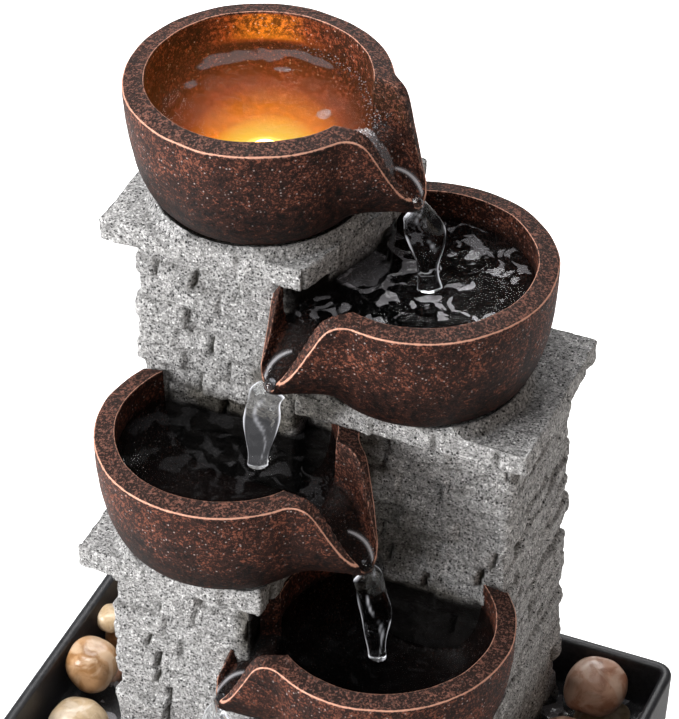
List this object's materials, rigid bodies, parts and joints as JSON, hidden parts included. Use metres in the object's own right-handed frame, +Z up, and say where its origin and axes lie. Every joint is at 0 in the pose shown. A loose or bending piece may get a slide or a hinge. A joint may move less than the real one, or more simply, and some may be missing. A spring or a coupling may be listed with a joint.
{
  "type": "tabletop water fountain",
  "caption": "Tabletop water fountain: stepped stone tower in a black tray, copper-brown bowls pouring into each other, with pump, lit top bowl and river pebbles.",
  "frame": {"origin": "centre of the tray, at the surface that the feet stand on", "axes": "+Z up, the fountain faces -Y, +X to its right as seen from the front"},
  "size_m": [0.216, 0.16, 0.2895],
  "materials": {
    "stone": "matt cast granite-look resin, light grey with black specks",
    "copper_resin": "bronze and copper painted resin, satin, speckled, bright copper edges",
    "tray_black": "satin black moulded plastic",
    "rubber": "matt black rubber",
    "pump_black": "satin black plastic",
    "white_plastic": "satin off-white plastic",
    "magnet": "moulded dark magnet and vanes",
    "ceramic": "polished white ceramic",
    "clear_tube": "translucent soft tube",
    "lamp_lens": "warm glowing lens",
    "pebble_tan": "polished tan river pebble",
    "pebble_rose": "polished rose-brown river pebble"
  },
  "bodies": {
    "base": {"basin_tray": "tray_black", "basin_foot_1": "rubber", "basin_foot_2": "rubber", "basin_foot_3": "rubber", "basin_foot_4": "rubber", "pump_suction_cup_1": "rubber", "pump_suction_cup_2": "rubber", "pump_suction_cup_3": "rubber", "pump_suction_cup_4": "rubber", "pump_housing": "pump_black", "pump_cord_gland": "rubber", "impeller_shaft": "ceramic", "pebble_01": "pebble_tan", "pebble_02": "pebble_rose", "pebble_03": "pebble_tan", "pebble_04": "pebble_rose", "pebble_05": "pebble_tan", "pebble_06": "pebble_rose", "pebble_07": "pebble_tan", "pebble_08": "pebble_rose", "pebble_09": "pebble_tan", "pebble_10": "pebble_rose", "pebble_11": "pebble_tan", "pebble_12": "pebble_rose", "pebble_13": "pebble_tan", "pebble_14": "pebble_rose", "pebble_15": "pebble_tan", "pebble_16": "pebble_rose", "pebble_17": "pebble_tan", "pebble_18": "pebble_rose"},
    "tower": {"column_a": "stone", "column_b": "stone", "column_c": "stone", "column_d": "stone", "cap_slab_a": "stone", "cap_slab_b": "stone", "cap_slab_c": "stone", "cap_slab_d": "stone", "bowl_1": "copper_resin", "bowl_2": "copper_resin", "bowl_3": "copper_resin", "bowl_4": "copper_resin", "supply_tube": "clear_tube", "outlet_nozzle": "pump_black", "outlet_gasket": "rubber", "lamp_housing": "pump_black", "lamp_lens": "lamp_lens", "lamp_gasket": "rubber", "lamp_nut": "white_plastic", "lamp_lead": "pump_black", "lamp_connector": "pump_black"},
    "door": {"pump_door": "stone"},
    "strainer": {"pump_strainer": "pump_black"},
    "dial": {"flow_dial": "white_plastic"},
    "rotor": {"impeller": "magnet"}
  },
  "joints": [
    {"name": "tower_lift", "type": "slide", "parent": "base", "child": "tower", "axis": [0, 0, 1], "range_m": [0, 0.06]},
    {"name": "door_pull", "type": "slide", "parent": "tower", "child": "door", "axis": [0, 1, 0], "range_m": [0, 0.03]},
    {"name": "strainer_pull", "type": "slide", "parent": "base", "child": "strainer", "axis": [0, 1, 0], "range_m": [0, 0.0075]},
    {"name": "flow_dial_turn", "type": "hinge", "parent": "strainer", "child": "dial", "pos_m": [-0.0405, 0.0506, 0.0326], "axis": [0, 1, 0], "range_deg": [-60, 60]},
    {"name": "impeller_spin", "type": "hinge", "parent": "base", "child": "rotor", "pos_m": [-0.0405, 0.041, 0.0256], "axis": [0, 1, 0], "continuous": true}
  ]
}
